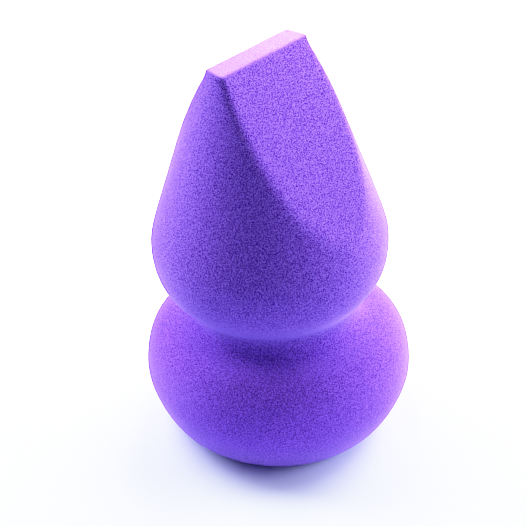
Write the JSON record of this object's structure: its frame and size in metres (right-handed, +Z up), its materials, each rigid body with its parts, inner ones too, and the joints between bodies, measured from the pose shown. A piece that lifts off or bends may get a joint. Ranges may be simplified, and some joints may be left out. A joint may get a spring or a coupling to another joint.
{
  "type": "makeup sponge",
  "caption": "Gourd-shaped foam makeup sponge: a wide round lower lobe, a narrow waist and a teardrop head with flat cuts that meet in a thin chisel tip.",
  "frame": {"origin": "centre of the flat sole, on the surface that the sponge stands on", "axes": "+Z up out of the sole, +X along the ridge of the chisel tip, -Y towards the front cut, +Y the way the head leans"},
  "size_m": [0.0406, 0.0406, 0.0619],
  "materials": {
    "foam": "matte"
  },
  "bodies": {
    "base": {"lower_lobe": "foam"},
    "neck": {"waist": "foam"},
    "head": {"upper_lobe": "foam", "tip_root": "foam"},
    "tip": {"chisel_tip": "foam"}
  },
  "joints": [
    {"name": "waist_press", "type": "slide", "parent": "base", "child": "neck", "axis": [0, 0, 1], "range_m": [-0.003, 0], "stiffness_N_per_m": 450, "deforming": ["waist"]},
    {"name": "waist_bend", "type": "hinge", "parent": "neck", "child": "head", "pos_m": [0, 0.0006, 0.0201], "axis": [1, 0, 0], "range_deg": [-15, 15], "stiffness_Nm_per_rad": 0.07, "deforming": ["waist"]},
    {"name": "tip_bend", "type": "hinge", "parent": "head", "child": "tip", "pos_m": [0, 0.004, 0.0509], "axis": [1, 0, 0], "range_deg": [-15, 15], "stiffness_Nm_per_rad": 0.004, "deforming": ["tip_root"]}
  ]
}
